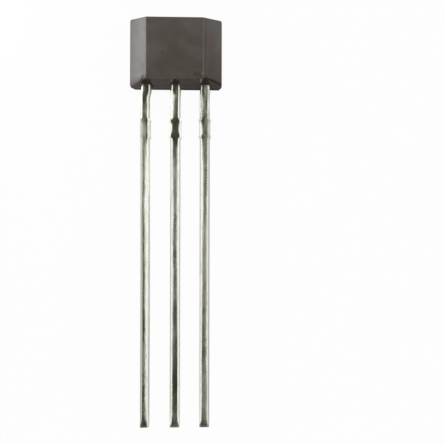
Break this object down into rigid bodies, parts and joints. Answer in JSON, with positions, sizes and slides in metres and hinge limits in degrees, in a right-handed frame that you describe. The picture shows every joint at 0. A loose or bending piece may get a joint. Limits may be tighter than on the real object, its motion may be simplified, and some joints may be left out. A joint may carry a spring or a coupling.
{
  "type": "hall effect sensor",
  "caption": "Flat leaded Hall effect sensor: a small moulded body with chamfered sides on straight, flat leads.",
  "frame": {"origin": "centre of the body's flat back face, on the surface that the part lies on", "axes": "+X across the body from the supply lead to the output lead, +Y from the leads' tips to the body's top, +Z out of the sensing face"},
  "size_m": [0.004, 0.0176, 0.0016],
  "materials": {
    "moulding_compound": "satin warm dark-grey epoxy moulding compound",
    "tinned_copper": "bright tin-dipped copper alloy, slightly wavy",
    "silver_adhesive": "dull silver-filled epoxy",
    "silicon": "polished blue-grey silicon with fine circuit lines",
    "gold_wire": "bright gold"
  },
  "bodies": {
    "root": {"moulded_body": "moulding_compound", "supply_lead": "tinned_copper", "ground_lead": "tinned_copper", "output_lead": "tinned_copper", "die_attach": "silver_adhesive", "hall_chip": "silicon", "supply_bond_wire": "gold_wire", "ground_bond_wire": "gold_wire", "output_bond_wire": "gold_wire"}
  },
  "joints": []
}
